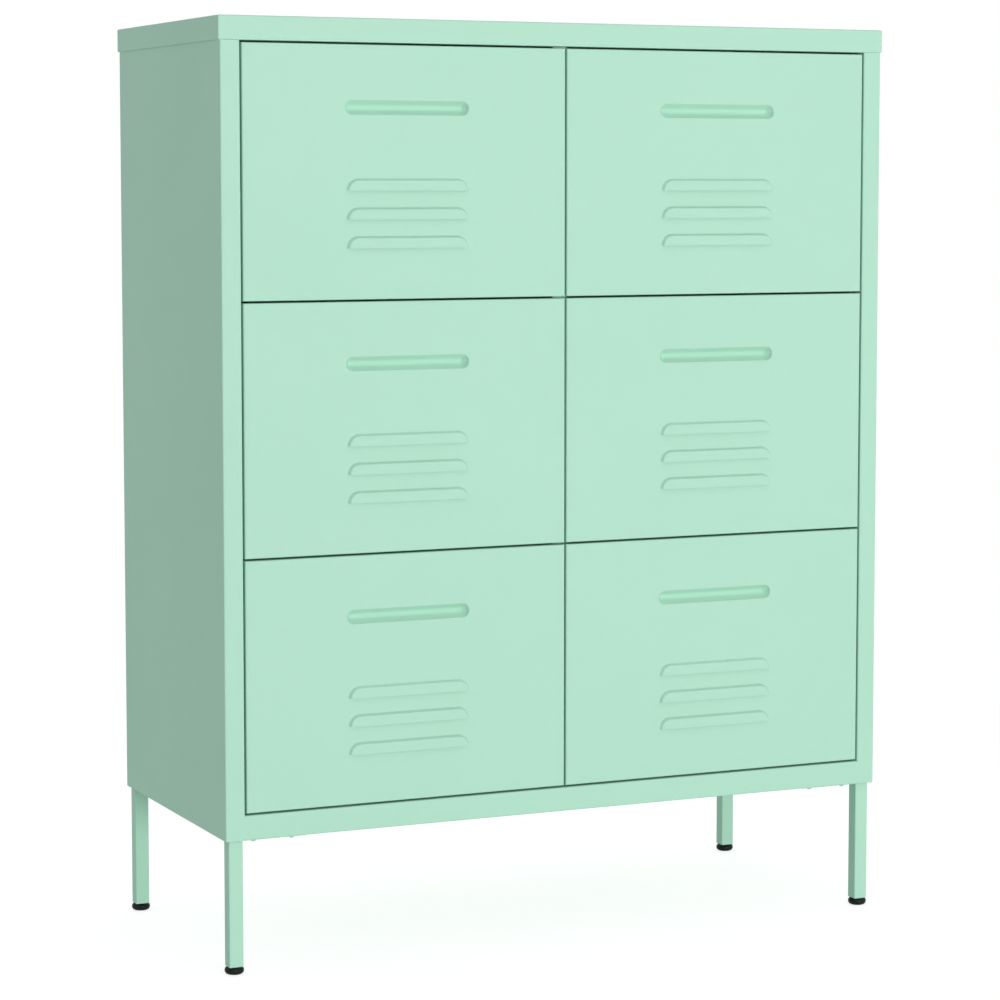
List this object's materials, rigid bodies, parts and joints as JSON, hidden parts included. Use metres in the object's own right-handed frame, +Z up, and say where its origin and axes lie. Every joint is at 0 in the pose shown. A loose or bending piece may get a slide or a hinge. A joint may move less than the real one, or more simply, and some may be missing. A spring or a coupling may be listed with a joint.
{
  "type": "drawer cabinet",
  "caption": "Painted sheet-steel cabinet on square legs, with side-by-side drawers that run on ball-bearing slides and have recessed finger pulls and louvred fronts.",
  "frame": {"origin": "on the floor, under the middle of the whole cabinet", "axes": "+Z up, -Y out of the drawer fronts, +X to the right as seen from the front"},
  "size_m": [0.8, 0.35, 1.015],
  "materials": {
    "paint": "smooth satin powder coat, pale mint green",
    "steel": "bright zinc plate",
    "rubber": "matt moulded rubber",
    "black_plastic": "matt moulded plastic"
  },
  "bodies": {
    "cabinet": {"lid": "paint", "left_side_panel": "paint", "right_side_panel": "paint", "bottom_panel": "paint", "back_panel": "paint", "centre_partition": "paint", "slide_posts": "paint", "slide_stops": "rubber", "body_screws": "steel", "leg_screws": "paint", "front_left_leg": "paint", "front_right_leg": "paint", "rear_left_leg": "paint", "rear_right_leg": "paint", "front_left_foot": "black_plastic", "front_right_foot": "black_plastic", "rear_left_foot": "black_plastic", "rear_right_foot": "black_plastic", "slide_channels_bottom_left": "steel", "slide_channels_bottom_right": "steel", "slide_channels_middle_left": "steel", "slide_channels_middle_right": "steel", "slide_channels_top_left": "steel", "slide_channels_top_right": "steel"},
    "drawer_bottom_left": {"front_bottom_left": "paint", "handle_cup_bottom_left": "paint", "box_bottom_left": "paint", "drawer_rails_bottom_left": "steel", "drawer_screws_bottom_left": "steel"},
    "cages_bottom_left": {"ball_cages_bottom_left": "steel"},
    "drawer_bottom_right": {"front_bottom_right": "paint", "handle_cup_bottom_right": "paint", "box_bottom_right": "paint", "drawer_rails_bottom_right": "steel", "drawer_screws_bottom_right": "steel"},
    "cages_bottom_right": {"ball_cages_bottom_right": "steel"},
    "drawer_middle_left": {"front_middle_left": "paint", "handle_cup_middle_left": "paint", "box_middle_left": "paint", "drawer_rails_middle_left": "steel", "drawer_screws_middle_left": "steel"},
    "cages_middle_left": {"ball_cages_middle_left": "steel"},
    "drawer_middle_right": {"front_middle_right": "paint", "handle_cup_middle_right": "paint", "box_middle_right": "paint", "drawer_rails_middle_right": "steel", "drawer_screws_middle_right": "steel"},
    "cages_middle_right": {"ball_cages_middle_right": "steel"},
    "drawer_top_left": {"front_top_left": "paint", "handle_cup_top_left": "paint", "box_top_left": "paint", "drawer_rails_top_left": "steel", "drawer_screws_top_left": "steel"},
    "cages_top_left": {"ball_cages_top_left": "steel"},
    "drawer_top_right": {"front_top_right": "paint", "handle_cup_top_right": "paint", "box_top_right": "paint", "drawer_rails_top_right": "steel", "drawer_screws_top_right": "steel"},
    "cages_top_right": {"ball_cages_top_right": "steel"}
  },
  "joints": [
    {"name": "drawer_slide_bottom_left", "type": "slide", "parent": "cabinet", "child": "drawer_bottom_left", "axis": [0, -1, 0], "range_m": [0, 0.23]},
    {"name": "drawer_slide_bottom_right", "type": "slide", "parent": "cabinet", "child": "drawer_bottom_right", "axis": [0, -1, 0], "range_m": [0, 0.23]},
    {"name": "drawer_slide_middle_left", "type": "slide", "parent": "cabinet", "child": "drawer_middle_left", "axis": [0, -1, 0], "range_m": [0, 0.23]},
    {"name": "drawer_slide_middle_right", "type": "slide", "parent": "cabinet", "child": "drawer_middle_right", "axis": [0, -1, 0], "range_m": [0, 0.23]},
    {"name": "drawer_slide_top_left", "type": "slide", "parent": "cabinet", "child": "drawer_top_left", "axis": [0, -1, 0], "range_m": [0, 0.23]},
    {"name": "drawer_slide_top_right", "type": "slide", "parent": "cabinet", "child": "drawer_top_right", "axis": [0, -1, 0], "range_m": [0, 0.23]},
    {"name": "cage_slide_bottom_left", "type": "slide", "parent": "cabinet", "child": "cages_bottom_left", "axis": [0, -1, 0], "range_m": [0, 0.115]},
    {"name": "cage_slide_bottom_right", "type": "slide", "parent": "cabinet", "child": "cages_bottom_right", "axis": [0, -1, 0], "range_m": [0, 0.115]},
    {"name": "cage_slide_middle_left", "type": "slide", "parent": "cabinet", "child": "cages_middle_left", "axis": [0, -1, 0], "range_m": [0, 0.115]},
    {"name": "cage_slide_middle_right", "type": "slide", "parent": "cabinet", "child": "cages_middle_right", "axis": [0, -1, 0], "range_m": [0, 0.115]},
    {"name": "cage_slide_top_left", "type": "slide", "parent": "cabinet", "child": "cages_top_left", "axis": [0, -1, 0], "range_m": [0, 0.115]},
    {"name": "cage_slide_top_right", "type": "slide", "parent": "cabinet", "child": "cages_top_right", "axis": [0, -1, 0], "range_m": [0, 0.115]}
  ],
  "couplings": [
    {"joint": "cage_slide_bottom_left", "follows": "drawer_slide_bottom_left", "ratio": 0.5},
    {"joint": "cage_slide_bottom_right", "follows": "drawer_slide_bottom_right", "ratio": 0.5},
    {"joint": "cage_slide_middle_left", "follows": "drawer_slide_middle_left", "ratio": 0.5},
    {"joint": "cage_slide_middle_right", "follows": "drawer_slide_middle_right", "ratio": 0.5},
    {"joint": "cage_slide_top_left", "follows": "drawer_slide_top_left", "ratio": 0.5},
    {"joint": "cage_slide_top_right", "follows": "drawer_slide_top_right", "ratio": 0.5}
  ]
}
